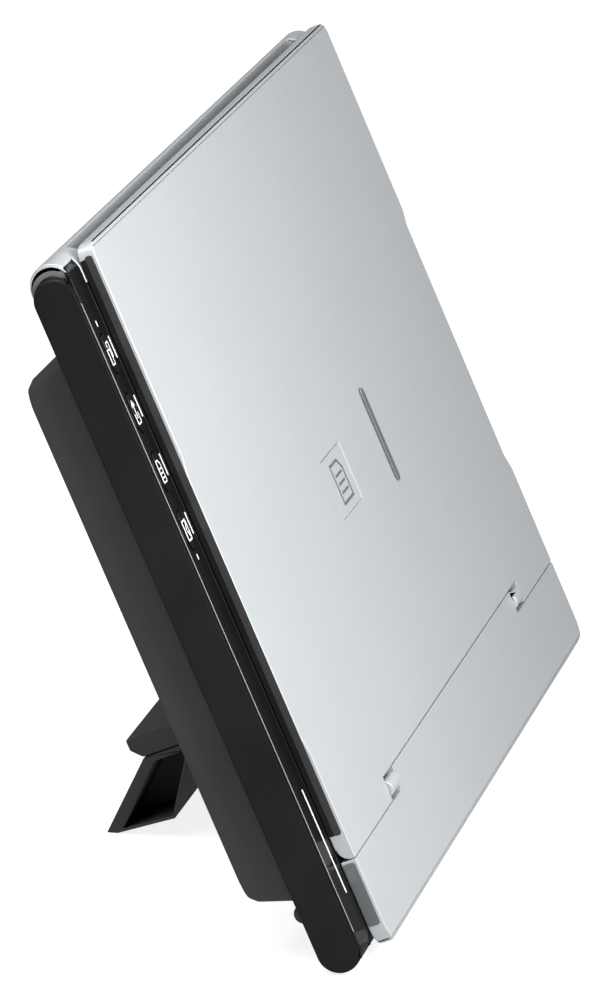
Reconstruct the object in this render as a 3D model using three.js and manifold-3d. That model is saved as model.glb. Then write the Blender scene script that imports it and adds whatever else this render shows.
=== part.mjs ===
// Slim flatbed document scanner, standing on its long hinge edge and leaning back on a fold-out stand.
// Millimetres, +Z up. Everything is drawn in the scanner's own axes and the whole is leaned back once:
//   x  along the hinge edge, d  depth from the lid's outer face to the rear, h  height above the hinge edge
import * as THREE from 'three';
import { mergeVertices } from 'three/addons/utils/BufferGeometryUtils.js';
import Module from 'manifold-3d';

const wasm = await Module();
wasm.setup();

// ---- driving dimensions -------------------------------------------------------------------------
const LEAN = THREE.MathUtils.degToRad(23.5);
const GAP = 0.3;
const BASE = { x0: -205.5, x1: 205.5, d0: 7.0, d1: 24.2, height: 290 };
const LID = { x0: -188.5, x1: 201.5, thick: 6.6, back: 2.6, rim: 2.5, corner: 6 };
const SEAM = { panelTop: 36.4, tongueX0: -107, tongueX1: 126, knuckle: 14.2, reach: 4.8, cutTop: 46.65 };
const UPPER_AXIS = { d: 1.4, h: 41.5 };
const LOWER_AXIS = { d: 5.0, h: 4.4 };
const LUG_X = [-143.5, 156.5];
const BAND = { h0: 84, h1: 199, depth: 1.0, ramp: 7 };
const WINDOW = { x0: -165, x1: 150, h0: 48, h1: 266, lip: 5, pocket: 3.2 };
const CAVITY = { x: 198, h0: 9, h1: 272, d0: 12, d1: 22.2 };
const CAP_H = 276;
const SIDE = { thick: 3.2, height: 284.6 };
const GRIP = { x0: -176, x1: 189, d1: 14.4 };
const LEDGE = { x0: -204, x1: -189.3, thick: 1.8 };
const BUTTON = { x: -197.3, first: 178, pitch: 24, wide: 6.4, tall: 15.5, proud: 0.6, count: 4 };
const HOUSING = { wall: 2.2, d1: 45.4, side: 196 };
const POCKET = { x0: -70, x1: 83, d0: 33.3, h0: 73.4, h1: 152.5 };
const STAND = { x0: -68.5, x1: 81.5, axisD: 38.8, axisH: 78.5, half: 4.5, tip: 111 };
const LEG = { pinX: [-30, 43], axisD: 88.5, axisH: 70.2, gap: 0.5 };
const ROD = { d: 30, h: 165, r: 3, end: 192 };
const DRIVE = { d: 33, h0: 190, h1: 196, pitchR: 5.3 };
const CARRIAGE = { x: -153.5, half: 13, h0: 44, h1: 268, d0: 13, d1: 21.8 };
const USB = { h0: 94, h1: 107, d0: 29, d1: 36 };
const LOCK = { x0: 119, x1: 141, h0: 58, h1: 68 };
const FLOOR_Z = -7.8;

// ---- finishes -----------------------------------------------------------------------------------
const finish = (color, roughness, metalness = 0) =>
  new THREE.MeshStandardMaterial({ color, roughness, metalness });
const FINISH = {
  silver: () => finish(0xc4c8ca, 0.38, 0.55),
  black: () => finish(0x202122, 0.42),
  gloss: () => finish(0x0b0b0c, 0.08),
  grey: () => finish(0x3c3d3c, 0.62),
  rubber: () => finish(0x1a1a1a, 0.9),
  steel: () => finish(0xb8babd, 0.3, 1),
  glass: () => finish(0xcfe3df, 0.05),
  white: () => finish(0xeeeeea, 0.85),
  board: () => finish(0x1f6a3c, 0.5),
  acrylic: () => finish(0xdfe8ee, 0.1),
};

// ---- geometry helpers ---------------------------------------------------------------------------
const box = (x0, x1, d0, d1, h0, h1) =>
  new THREE.BoxGeometry(x1 - x0, d1 - d0, h1 - h0)
    .translate((x0 + x1) / 2, (d0 + d1) / 2, (h0 + h1) / 2);

const rodAlongX = (x0, x1, d, h, r, sides = 20) =>
  new THREE.CylinderGeometry(r, r, x1 - x0, sides)
    .rotateZ(Math.PI / 2)
    .translate((x0 + x1) / 2, d, h);

const discAlongD = (x, h, d0, d1, r, sides = 24) =>
  new THREE.CylinderGeometry(r, r, d1 - d0, sides).translate(x, (d0 + d1) / 2, h);

const rodAlongH = (x, d, h0, h1, r, sides = 24) =>
  new THREE.CylinderGeometry(r, r, h1 - h0, sides).rotateX(Math.PI / 2).translate(x, d, (h0 + h1) / 2);

// a profile drawn in (d, h) and run along x
function extrudeX(shape, x0, x1, curveSegments = 8) {
  const g = new THREE.ExtrudeGeometry(shape, { depth: x1 - x0, bevelEnabled: false, curveSegments });
  g.applyMatrix4(new THREE.Matrix4().makeBasis(
    new THREE.Vector3(0, 1, 0), new THREE.Vector3(0, 0, 1), new THREE.Vector3(1, 0, 0)));
  return g.translate(x0, 0, 0);
}

// an outline drawn in (x, h) and run along d
function extrudeD(shape, d0, d1, curveSegments = 6) {
  const g = new THREE.ExtrudeGeometry(shape, { depth: d1 - d0, bevelEnabled: false, curveSegments });
  g.applyMatrix4(new THREE.Matrix4().makeBasis(
    new THREE.Vector3(1, 0, 0), new THREE.Vector3(0, 0, 1), new THREE.Vector3(0, -1, 0)));
  return g.translate(0, d1, 0);
}

function polygon(points) {
  return new THREE.Shape(points.map(([u, v]) => new THREE.Vector2(u, v)));
}

// rectangle with its own radius at each corner: bottom left, bottom right, top right, top left
function roundedRect(u0, u1, v0, v1, radii) {
  const [bl, br, tr, tl] = Array.isArray(radii) ? radii : [radii, radii, radii, radii];
  const s = new THREE.Shape();
  s.moveTo(u0 + bl, v0);
  s.lineTo(u1 - br, v0);
  s.absarc(u1 - br, v0 + br, br, -Math.PI / 2, 0, false);
  s.lineTo(u1, v1 - tr);
  s.absarc(u1 - tr, v1 - tr, tr, 0, Math.PI / 2, false);
  s.lineTo(u0 + tl, v1);
  s.absarc(u0 + tl, v1 - tl, tl, Math.PI / 2, Math.PI, false);
  s.lineTo(u0, v0 + bl);
  s.absarc(u0 + bl, v0 + bl, bl, Math.PI, 1.5 * Math.PI, false);
  return s;
}

// rounded rectangles at several depths joined by straight walls and closed at both ends
function loftD(sections, perCorner = 4) {
  const ring = ({ d, x, h0, h1, r }) => {
    const centres = [[x - r, h0 + r, -90], [x - r, h1 - r, 0], [-x + r, h1 - r, 90], [-x + r, h0 + r, 180]];
    return centres.flatMap(([cx, ch, start]) => Array.from({ length: perCorner + 1 }, (_, i) => {
      const a = THREE.MathUtils.degToRad(start + (90 * i) / perCorner);
      return [cx + r * Math.cos(a), d, ch + r * Math.sin(a)];
    }));
  };
  const rings = sections.map(ring);
  const n = rings[0].length;
  const position = rings.flat(2);
  const index = [];
  for (let s = 0; s < rings.length - 1; s += 1) {
    for (let i = 0; i < n; i += 1) {
      const a = s * n + i;
      const b = s * n + ((i + 1) % n);
      index.push(a, a + n, b, b, a + n, b + n);
    }
  }
  const last = (rings.length - 1) * n;
  for (let i = 1; i < n - 1; i += 1) {
    index.push(0, i, i + 1);
    index.push(last, last + i + 1, last + i);
  }
  const g = new THREE.BufferGeometry();
  g.setAttribute('position', new THREE.Float32BufferAttribute(position, 3));
  g.setIndex(index);
  return g;
}

// ---- booleans -----------------------------------------------------------------------------------
function solid(geometry) {
  const g = geometry.clone();
  ['normal', 'uv'].forEach((name) => g.deleteAttribute(name));
  const welded = mergeVertices(g, 1e-4);
  return new wasm.Manifold(new wasm.Mesh({
    numProp: 3,
    vertProperties: new Float32Array(welded.attributes.position.array),
    triVerts: new Uint32Array(welded.index.array),
  }));
}

function geometryOf(manifold) {
  const mesh = manifold.getMesh();
  const g = new THREE.BufferGeometry();
  g.setAttribute('position', new THREE.Float32BufferAttribute(mesh.vertProperties, 3));
  g.setIndex(Array.from(mesh.triVerts));
  g.computeVertexNormals();
  return g;
}

function carve(geometry, cuts = [], joins = []) {
  let body = solid(geometry);
  joins.forEach((g) => { body = body.add(solid(g)); });
  cuts.forEach((g) => { body = body.subtract(solid(g)); });
  return geometryOf(body);
}

const common = (a, b) => geometryOf(solid(a).intersect(solid(b)));

// ---- assembly -----------------------------------------------------------------------------------
const scanner = new THREE.Group();

function add(name, geometry, material, parent = scanner) {
  const mesh = new THREE.Mesh(geometry, material);
  mesh.name = name;
  parent.add(mesh);
  return mesh;
}

// full section of the base: flat faces and half-round ends
function basePrism(x0 = BASE.x0, x1 = BASE.x1) {
  const r = (BASE.d1 - BASE.d0) / 2;
  return extrudeX(roundedRect(BASE.d0, BASE.d1, 0, BASE.height, r - 0.01), x0, x1, 10);
}

function oval(x, h, grow = 0) {
  const w = BUTTON.wide / 2 + grow;
  const t = BUTTON.tall / 2 + grow;
  return roundedRect(x - w, x + w, h - t, h + t, w - 0.01);
}

const buttonHeights = Array.from({ length: BUTTON.count }, (_, i) => BUTTON.first + i * BUTTON.pitch);

function ledgeOutline(grow) {
  return roundedRect(LEDGE.x0 - grow, LEDGE.x1 + grow, 2 - grow, 288 + grow, [3, 3, 3, 8]);
}

// what is taken off the black side so that it ends lower than the cap behind it
function sideStep() {
  const r = (BASE.d1 - BASE.d0) / 2;
  const side = roundedRect(BASE.d0, BASE.d1, 0, SIDE.height, r - 0.01);
  const block = solid(box(BASE.x0 - 1, BASE.x0 + SIDE.thick, -5, 40, 260, 300));
  return geometryOf(block.subtract(solid(extrudeX(side, BASE.x0 - 2, BASE.x0 + 5, 10))));
}

function makeBase() {
  const w = WINDOW;
  const lugs = LUG_X.flatMap((x) => [
    rodAlongX(x - 6, x + 6, LOWER_AXIS.d, LOWER_AXIS.h, 2.1),
    box(x - 6, x + 6, LOWER_AXIS.d, 10.5, LOWER_AXIS.h - 0.9, LOWER_AXIS.h + 2),
  ]);
  const cuts = [
    box(-CAVITY.x, CAVITY.x, CAVITY.d0, CAVITY.d1, CAVITY.h0, CAVITY.h1),
    box(-190, 190, CAVITY.d0, 30, 37, 249),
    box(w.x0 - w.lip, w.x1 + w.lip, 0, BASE.d0 + w.pocket, w.h0 - w.lip, w.h1 + w.lip),
    box(w.x0, w.x1, 0, 15, w.h0, w.h1),
    box(BASE.x0 + SIDE.thick, BASE.x1 + 5, 0, 30, CAP_H, 300),
    sideStep(),
    extrudeD(ledgeOutline(GAP), 0, BASE.d0 + LEDGE.thick + GAP),
    ...buttonHeights.map((h) => extrudeD(oval(BUTTON.x, h, 0.6), 0, 15)),
    ...LUG_X.map((x) => rodAlongX(x - 20, x + 20, LOWER_AXIS.d, LOWER_AXIS.h, 1.25)),
  ];
  add('base_frame', carve(basePrism(), cuts, lugs), FINISH.black());
}

function makeEndCap() {
  const x0 = BASE.x0 + SIDE.thick + GAP;
  const cuts = [
    box(x0 - 5, BASE.x1 + 5, 0, 30, -10, CAP_H + GAP),
    box(x0 + 3, BASE.x1 - 3, 15.6, BASE.d1 - 2.4, 200, 286),
    box(GRIP.x0, GRIP.x1, 0, GRIP.d1, 200, 300),
    box(-250, LID.x0 - GAP, 0, BASE.d0 + LEDGE.thick + GAP, 200, 300),
  ];
  add('end_cap', carve(basePrism(x0, BASE.x1), cuts), FINISH.silver());
}

function makeLedgeAndButtons() {
  const strip = common(extrudeD(ledgeOutline(0), 0, BASE.d0 + LEDGE.thick), basePrism());
  const holes = buttonHeights.map((h) => extrudeD(oval(BUTTON.x, h, 0.35), 0, 15));
  add('control_ledge', carve(strip, holes), FINISH.gloss());
  buttonHeights.forEach((h, i) => {
    const cap = extrudeD(oval(BUTTON.x, h), BASE.d0 - BUTTON.proud, 11.0);
    add(`button_${i + 1}`, cap, FINISH.gloss());
  });
  const switches = buttonHeights.map((h) => box(BUTTON.x - 0.4, BUTTON.x + 4.4, 12.7, 14, h - 2.5, h + 2.5));
  add('button_board', carve(box(-197.6, -190, 13.4, 15, 168, 262), [], switches), FINISH.board());
}

function makeGlass() {
  const w = WINDOW;
  const lip = w.lip - 0.4;
  add('platen_glass', box(w.x0 - lip, w.x1 + lip, BASE.d0 + 0.1, BASE.d0 + w.pocket - GAP,
    w.h0 - lip, w.h1 + lip), FINISH.glass());
}

function makeHousing() {
  const outer = [
    { d: BASE.d1 + GAP, x: HOUSING.side, h0: 28.3, h1: 255.5, r: 5 },
    { d: 41.2, x: HOUSING.side - 0.5, h0: 33.3, h1: 250, r: 5 },
    { d: 44.2, x: HOUSING.side - 1.6, h0: 35.2, h1: 247.4, r: 5 },
    { d: HOUSING.d1, x: HOUSING.side - 4, h0: 38.5, h1: 244, r: 5 },
  ];
  const inner = outer.slice(0, 2).map((s) => ({
    ...s, x: s.x - HOUSING.wall, h0: s.h0 + HOUSING.wall, h1: s.h1 - HOUSING.wall, r: s.r - HOUSING.wall,
  }));
  inner[0].d -= 2;
  inner[1].d = HOUSING.d1 - HOUSING.wall;
  const p = POCKET;
  const t = 2;
  const shell = solid(loftD(outer)).subtract(solid(loftD(inner)));
  const pocketBox = solid(box(p.x0 - t, p.x1 + t, p.d0 - t, HOUSING.d1 - 1, p.h0 - t, p.h1 + t));
  const saddles = [-1, 1].map((s) => solid(box(s > 0 ? 187 : -193.6, s > 0 ? 193.6 : -187,
    26, 39, ROD.h - 6, ROD.h + 6)));
  let body = shell.add(pocketBox);
  saddles.forEach((s) => { body = body.add(s); });
  const cuts = [
    box(p.x0, p.x1, p.d0, 60, p.h0, p.h1),
    rodAlongX(p.x0 - 6, p.x1 + 6, STAND.axisD, STAND.axisH, 1.8),
    rodAlongX(-ROD.end - 0.6, ROD.end + 0.6, ROD.d, ROD.h, ROD.r + GAP),
    box(185, 205, USB.d0, USB.d1, USB.h0, USB.h1),
    box(LOCK.x0, LOCK.x1, HOUSING.d1 - 1.2, 60, LOCK.h0, LOCK.h1),
    ...screwPlaces().flatMap(([x, h]) => [
      discAlongD(x, h, HOUSING.d1 - 1.4, 60, 3.6),
      discAlongD(x, h, 30, 60, 1.8),
    ]),
  ];
  cuts.forEach((g) => { body = body.subtract(solid(g)); });
  add('lower_housing', geometryOf(body), FINISH.grey());
}

function screwPlaces() {
  return [-176, 176].flatMap((x) => [58, 228].map((h) => [x, h]));
}

function makeScrewsAndFeet() {
  screwPlaces().forEach(([x, h], i) => {
    const head = discAlongD(x, h, HOUSING.d1 - 1.1, HOUSING.d1 - 0.2, 3.1);
    const shank = discAlongD(x, h, 32, HOUSING.d1 - 1, 1.4, 12);
    const slot = [box(x - 2.2, x + 2.2, HOUSING.d1 - 0.7, 50, h - 0.4, h + 0.4),
      box(x - 0.4, x + 0.4, HOUSING.d1 - 0.7, 50, h - 2.2, h + 2.2)];
    add(`housing_screw_${i + 1}`, carve(head, slot, [shank]), FINISH.steel());
  });
  const feet = [-150, 150].flatMap((x) => [66, 222].map((h) => [x, h]));
  feet.forEach(([x, h], i) => {
    const d = HOUSING.d1 + GAP;
    const pad = new THREE.LatheGeometry([[0, 0], [8, 0], [8, 1.2], [7.2, 2], [0, 2]]
      .map(([r, t]) => new THREE.Vector2(r, t)), 28).translate(x, d, h);
    add(`rubber_foot_${i + 1}`, pad, FINISH.rubber());
  });
  const rib = new THREE.Shape();
  rib.moveTo(BASE.d1 + GAP, 20);
  rib.lineTo(26.3, 20);
  rib.absarc(26.3, 23.8, 3.8, -Math.PI / 2, Math.PI / 2, false);
  rib.lineTo(BASE.d1 + GAP, 27.6);
  add('rear_rib', extrudeX(rib, -194, 194), FINISH.grey());
}

// rubber pads under the half-round edge, flat where the scanner stands on them
function makeEdgeFeet() {
  const r = (BASE.d1 - BASE.d0) / 2;
  const c = { d: BASE.d0 + r, h: r };
  const cy = c.d * Math.cos(LEAN) + c.h * Math.sin(LEAN);
  [-150, 150].forEach((x, i) => {
    const pad = new THREE.BoxGeometry(46, 9, 3.2)
      .translate(x, cy + 1, FLOOR_Z + 1.6)
      .rotateX(LEAN);
    const hollow = rodAlongX(x - 30, x + 30, c.d, c.h, r + GAP, 64);
    add(i ? 'edge_foot_right' : 'edge_foot_left', carve(pad, [hollow]), FINISH.rubber());
  });
}

function makeDriveRail() {
  add('guide_rod', rodAlongX(-ROD.end, ROD.end, ROD.d, ROD.h, ROD.r), FINISH.steel());
  const beltD = DRIVE.d + DRIVE.pitchR + 0.3;
  add('drive_belt', box(-184, 184, beltD, beltD + 1, DRIVE.h0, DRIVE.h1), FINISH.rubber());
  [-1, 1].forEach((side) => {
    const x0 = side > 0 ? 184.3 : -191;
    add(side > 0 ? 'belt_anchor_right' : 'belt_anchor_left',
      box(x0, x0 + 6.7, beltD - 3, HOUSING.d1 - HOUSING.wall - 0.4, DRIVE.h0 - 2, DRIVE.h1 + 2), FINISH.black());
  });
}

function makeElectronics() {
  const chips = [
    box(120, 134, 34.6, 36.5, 96, 110), box(150, 158, 34.8, 36.5, 70, 78), box(110, 118, 33.8, 36.5, 122, 134),
  ];
  add('main_board', carve(box(95, 178, 36, 37.6, 62, 140), [], chips), FINISH.board());
  const shell = box(179, 192.6, USB.d0 + 0.4, USB.d1 - 0.4, USB.h0 + 0.4, USB.h1 - 0.4);
  const mouth = box(182, 200, USB.d0 + 1.2, USB.d1 - 1.2, USB.h0 + 1.2, USB.h1 - 1.2);
  const tongue = box(181.5, 190, 31.6, 33.4, USB.h0 + 3.2, USB.h1 - 3.2);
  const body = solid(shell).subtract(solid(mouth)).add(solid(tongue));
  add('usb_socket', geometryOf(body), FINISH.steel());
  add('flex_cable', box(-150, 92, 39.9, 40.3, 46, 58), FINISH.white());
}

function makeHingePanel() {
  const s = new THREE.Shape();
  s.moveTo(6.6, 1.2);
  s.lineTo(6.6, SEAM.panelTop);
  s.lineTo(0, SEAM.panelTop);
  s.lineTo(0, 3.4);
  s.absarc(3.4, 3.4, 3.4, Math.PI, 1.5 * Math.PI, false);
  s.lineTo(5.6, 0);
  const a = UPPER_AXIS;
  const front = Math.acos(-a.d / SEAM.reach);
  const tongue = new THREE.Shape();
  tongue.moveTo(6.6, 30);
  tongue.lineTo(6.6, a.h - 0.4);
  tongue.absarc(a.d, a.h, SEAM.reach, 0, front, false);
  tongue.lineTo(0, 30);
  const outline = roundedRect(LID.x0, LID.x1, 0, 70, [9, 9, 2, 2]);
  const blank = common(extrudeX(s, LID.x0, LID.x1), extrudeD(outline, -5, 15));
  const ribs = LUG_X.flatMap((x) => [-8.7, 7].map((o) => box(x + o, x + o + 1.7, 1.5, 6.2, 1.5, 9)));
  const pinEnds = [SEAM.tongueX0 - 1, SEAM.tongueX1 - 13];
  let body = solid(blank).add(solid(extrudeX(tongue, SEAM.tongueX0, SEAM.tongueX1, 12)));
  body = body.subtract(solid(box(LID.x0 + 3, LID.x1 - 3, 2, 12, 2, 33)));
  ribs.forEach((g) => { body = body.add(solid(g)); });
  LUG_X.forEach((x) => {
    body = body.subtract(solid(rodAlongX(x - 12, x + 12, LOWER_AXIS.d, LOWER_AXIS.h, 1.3)));
  });
  pinEnds.forEach((x) => {
    body = body.subtract(solid(rodAlongX(x, x + 14, a.d, a.h, 1.1)));
  });
  add('hinge_panel', geometryOf(body), FINISH.silver());
  LUG_X.forEach((x, i) => {
    add(i ? 'base_pin_right' : 'base_pin_left',
      rodAlongX(x - 10.2, x + 10.2, LOWER_AXIS.d, LOWER_AXIS.h, 1.0, 16), FINISH.steel());
  });
}

function makeKnuckles() {
  const { knuckle, tongueX0, tongueX1 } = SEAM;
  const places = [tongueX0 - knuckle / 2, tongueX1 + knuckle / 2];
  places.forEach((x, i) => {
    const side = i ? 'right' : 'left';
    const barrel = rodAlongX(x - knuckle / 2 + 0.4, x + knuckle / 2 - 0.4, UPPER_AXIS.d, UPPER_AXIS.h, 3.2);
    const bore = rodAlongX(x - 20, x + 20, UPPER_AXIS.d, UPPER_AXIS.h, 1.1);
    add(`hinge_knuckle_${side}`, carve(barrel, [bore]), FINISH.silver());
    add(`hinge_pin_${side}`, rodAlongX(x - 18.5, x + 18.5, UPPER_AXIS.d, UPPER_AXIS.h, 0.8, 12),
      FINISH.steel());
  });
}

function lidProfile() {
  const a = UPPER_AXIS;
  const b = BAND;
  const s = new THREE.Shape();
  const start = -Math.acos(-a.d / SEAM.reach);
  s.moveTo(a.d + SEAM.reach * Math.cos(start), a.h + SEAM.reach * Math.sin(start));
  s.absarc(a.d, a.h, SEAM.reach, start, 0, false);
  s.lineTo(LID.thick, a.h + 0.4);
  s.lineTo(LID.thick, BASE.height - 1.2);
  s.lineTo(5.4, BASE.height);
  s.lineTo(1.6, BASE.height);
  s.lineTo(0.4, BASE.height - 0.5);
  s.lineTo(0, BASE.height - 1.8);
  s.lineTo(0, b.h1 + b.ramp / 2);
  s.lineTo(b.depth, b.h1 - b.ramp / 2);
  s.lineTo(b.depth, b.h0 + b.ramp / 2);
  s.lineTo(0, b.h0 - b.ramp / 2);
  return s;
}

function makeLid() {
  const { knuckle, tongueX0, tongueX1, cutTop } = SEAM;
  const x0 = tongueX0 - knuckle - 0.4;
  const x1 = tongueX1 + knuckle + 0.4;
  const outline = roundedRect(LID.x0, LID.x1, 20, BASE.height, [0.5, 0.5, LID.corner, LID.corner]);
  const blank = common(extrudeX(lidProfile(), LID.x0, LID.x1, 12), extrudeD(outline, -5, 15));
  const badge = { x0: -36.5, x1: -4.5, h0: 130, h1: 155 };
  const cuts = [
    box(LID.x0 + LID.rim, LID.x1 - LID.rim, LID.back, 12, 50, BASE.height - LID.rim),
    box(x0, x1, -5, 12, 0, cutTop),
    rodAlongX(x0 - 14, x0 + 1, UPPER_AXIS.d, UPPER_AXIS.h, 1.1),
    rodAlongX(x1 - 1, x1 + 14, UPPER_AXIS.d, UPPER_AXIS.h, 1.1),
    box(badge.x0, badge.x1, -5, 1.9, badge.h0, badge.h1),
  ];
  add('lid_panel', carve(blank, cuts), FINISH.silver());
  add('lid_badge', box(badge.x0 + GAP, badge.x1 - GAP, 1.2, 1.6, badge.h0 + GAP, badge.h1 - GAP), FINISH.silver());
  const mat = roundedRect(LID.x0 + 5, LID.x1 - 5, 52.5, BASE.height - 5, 4);
  add('document_mat', extrudeD(mat, LID.back + GAP, LID.thick - 0.1), FINISH.white());
}

function makeCarriage() {
  const c = CARRIAGE;
  const x = c.x;
  const frame = carve(
    box(x - c.half, x + c.half, c.d0, c.d1, c.h0, c.h1),
    [box(x - 9.4, x + 9.4, 5, 19.9, 49.4, 264.6), rodAlongX(x - 30, x + 30, ROD.d, ROD.h, ROD.r + 0.3)],
    [box(x - c.half, x + c.half, 20, 36, ROD.h - 8, ROD.h + 8), box(x - 8, x + 8, 20, 25.8, 200, 228)],
  );
  add('carriage_frame', frame, FINISH.black());
  const slots = [box(x - 2, x + 2, 5, 12.6, 51, 263), box(x - 7, x - 4, 5, 12.6, 51, 263)];
  add('sensor_bar', carve(box(x - 9, x + 9, 10.6, 19.6, 49.8, 264.2), slots), FINISH.black());
  add('lens_strip', box(x - 1.7, x + 1.7, 10.9, 12.3, 51.4, 262.6), FINISH.acrylic());
  add('light_guide', box(x - 6.7, x - 4.3, 10.9, 12.3, 51.4, 262.6), FINISH.acrylic());
  const can = rodAlongH(x, DRIVE.d, 201, 227, 6.8, 28);
  add('drive_motor', carve(can, [], [rodAlongH(x, DRIVE.d, 196.8, 202, 1.5, 16)]), FINISH.steel());
  add('drive_pulley', pulley(x), FINISH.black());
}

// toothed wheel turning about h
function pulley(x) {
  const teeth = 18;
  const outline = new THREE.Shape();
  for (let i = 0; i < teeth * 2; i += 1) {
    const r = i % 2 ? DRIVE.pitchR : DRIVE.pitchR - 0.8;
    const wide = (Math.PI / teeth) * 0.3;
    [-wide, wide].forEach((o, k) => {
      const a = (i * Math.PI) / teeth + o;
      const p = [r * Math.cos(a), r * Math.sin(a)];
      if (i === 0 && k === 0) outline.moveTo(...p);
      else outline.lineTo(...p);
    });
  }
  const g = new THREE.ExtrudeGeometry(outline, { depth: DRIVE.h1 - DRIVE.h0, bevelEnabled: false });
  return g.translate(x, DRIVE.d, DRIVE.h0);
}

function makeLock() {
  const d = HOUSING.d1;
  const knob = box(LOCK.x0 + 0.6, LOCK.x0 + 11, d - 0.9, d + 0.8, LOCK.h0 + 0.6, LOCK.h1 - 0.6);
  const grooves = [3, 5, 7].map((o) => box(LOCK.x0 + o, LOCK.x0 + o + 0.8, d + 0.3, d + 5, 0, 100));
  add('carriage_lock', carve(knob, grooves), FINISH.black());
}

function makeStandArm() {
  const { axisD, axisH, half, tip } = STAND;
  const s = new THREE.Shape();
  s.moveTo(axisD, axisH - half);
  s.lineTo(tip - 4, axisH - half);
  s.lineTo(tip, axisH - half + 4);
  s.lineTo(tip, axisH + half - 0.8);
  s.lineTo(tip - 0.8, axisH + half);
  s.lineTo(axisD, axisH + half);
  s.absarc(axisD, axisH, half, Math.PI / 2, 1.5 * Math.PI, false);
  const lugs = LEG.pinX.flatMap((x) => [
    rodAlongX(x - 5, x + 5, LEG.axisD, LEG.axisH, 2.9),
    box(x - 5, x + 5, LEG.axisD - 2.4, LEG.axisD + 2.4, LEG.axisH, axisH - 2),
  ]);
  const bores = [
    rodAlongX(STAND.x0 - 5, STAND.x1 + 5, axisD, axisH, 1.8),
    ...LEG.pinX.map((x) => rodAlongX(x - 8, x + 8, LEG.axisD, LEG.axisH, 1.5)),
  ];
  add('stand_arm', carve(extrudeX(s, STAND.x0, STAND.x1), bores, lugs), FINISH.grey());
  add('stand_pin', rodAlongX(POCKET.x0 - 4, POCKET.x1 + 4, axisD, axisH, 1.5), FINISH.steel());
}

function makeStandLeg() {
  const top = STAND.axisH - STAND.half - LEG.gap;
  const heel = { d: 134, h: 0 };
  heel.h = (FLOOR_Z + heel.d * Math.sin(LEAN)) / Math.cos(LEAN);
  const toe = { d: 130, h: 0 };
  toe.h = (FLOOR_Z + toe.d * Math.sin(LEAN)) / Math.cos(LEAN);
  const outer = polygon([[107, top], [87.1, top], [86, 72.6], [105, 46], [toe.d, toe.h], [heel.d, heel.h]]);
  const inner = polygon([[102.6, 70.7], [89.2, 70.7], [105.6, 47.3], [127, 49.0]]);
  const x0 = STAND.x0 + 0.5;
  const x1 = STAND.x1 - 0.5;
  const notches = LEG.pinX.map((x) => box(x - 5.6, x + 5.6, LEG.axisD - 10, LEG.axisD + 6, LEG.axisH - 6, 90));
  const bores = LEG.pinX.map((x) => rodAlongX(x - 11, x + 11, LEG.axisD, LEG.axisH, 1.5));
  const pockets = [extrudeX(inner, x0 - 5, x0 + 24), extrudeX(inner, x1 - 24, x1 + 5)];
  add('stand_leg', carve(extrudeX(outer, x0, x1), [...pockets, ...notches, ...bores]), FINISH.grey());
  LEG.pinX.forEach((x, i) => {
    add(`leg_pin_${i + 1}`, rodAlongX(x - 10.5, x + 10.5, LEG.axisD, LEG.axisH, 1.2, 16), FINISH.steel());
  });
}

makeBase();
makeEndCap();
makeLedgeAndButtons();
makeGlass();
makeHousing();
makeScrewsAndFeet();
makeEdgeFeet();
makeDriveRail();
makeElectronics();
makeHingePanel();
makeKnuckles();
makeLid();
makeCarriage();
makeLock();
makeStandArm();
makeStandLeg();

// lean the scanner back and put the origin under the middle of its box
scanner.rotation.x = -LEAN;
const group = new THREE.Group();
group.add(scanner);
group.updateMatrixWorld(true);
const bounds = new THREE.Box3().setFromObject(group, true);
const middle = bounds.getCenter(new THREE.Vector3());
scanner.position.set(-middle.x, -middle.y, -bounds.min.z);
group.updateMatrixWorld(true);

export default group;
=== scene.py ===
"""Slim flatbed scanner on a fold-out stand: its visible pieces and finishes, built around the fixed frame.

Shapes are drawn in the scanner's own axes in millimetres (x along the hinge edge, d depth behind the lid's
outer face, h height above the hinge edge) and leaned back once, by the same angle as the frame.
"""
import math

import bmesh
import bpy
from mathutils import Matrix, Vector


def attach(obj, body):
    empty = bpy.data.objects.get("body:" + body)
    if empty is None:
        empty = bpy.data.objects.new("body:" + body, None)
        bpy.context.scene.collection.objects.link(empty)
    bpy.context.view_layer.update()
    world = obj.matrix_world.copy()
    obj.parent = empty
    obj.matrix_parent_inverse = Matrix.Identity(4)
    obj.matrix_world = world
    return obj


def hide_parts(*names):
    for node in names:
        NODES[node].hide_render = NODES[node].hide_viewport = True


bl_info = {
    "name": "Flatbed scanner on a stand",
    "version": (1, 0, 0),
    "blender": (4, 5, 0),
    "location": "3D View > Sidebar > Scanner",
    "description": "Builds the finished pieces of a slim flatbed scanner around its frame",
    "category": "Object",
}

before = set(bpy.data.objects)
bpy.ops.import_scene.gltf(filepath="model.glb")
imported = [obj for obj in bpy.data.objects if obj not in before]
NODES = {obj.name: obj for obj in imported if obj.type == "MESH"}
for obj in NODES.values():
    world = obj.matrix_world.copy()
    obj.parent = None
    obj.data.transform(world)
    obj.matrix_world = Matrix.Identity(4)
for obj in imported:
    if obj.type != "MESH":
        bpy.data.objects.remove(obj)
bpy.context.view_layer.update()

LEAN = math.radians(23.5)
HINGE_EDGE = (0.0, -0.0719009, 0.0078)  # where the scanner's own origin lies in the frame
TO_FRAME = (
    Matrix.Translation(HINGE_EDGE)
    @ Matrix.Rotation(-LEAN, 4, "X")
    @ Matrix.Scale(0.001, 4)
)
MM = 0.001
HOUSING_BACK = 45.4  # depth of the lower housing's rear face
LID_SIDE = -188.5  # x of the lid's side by the button strip


# ---- settings -----------------------------------------------------------------------------------
def length(name, description, default):
    return bpy.props.FloatProperty(
        name=name, description=description, default=default, min=0.0, unit="LENGTH", precision=5
    )


def colour(name, description, default):
    return bpy.props.FloatVectorProperty(
        name=name, description=description, default=default, size=3, subtype="COLOR", min=0.0, max=1.0
    )


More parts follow.
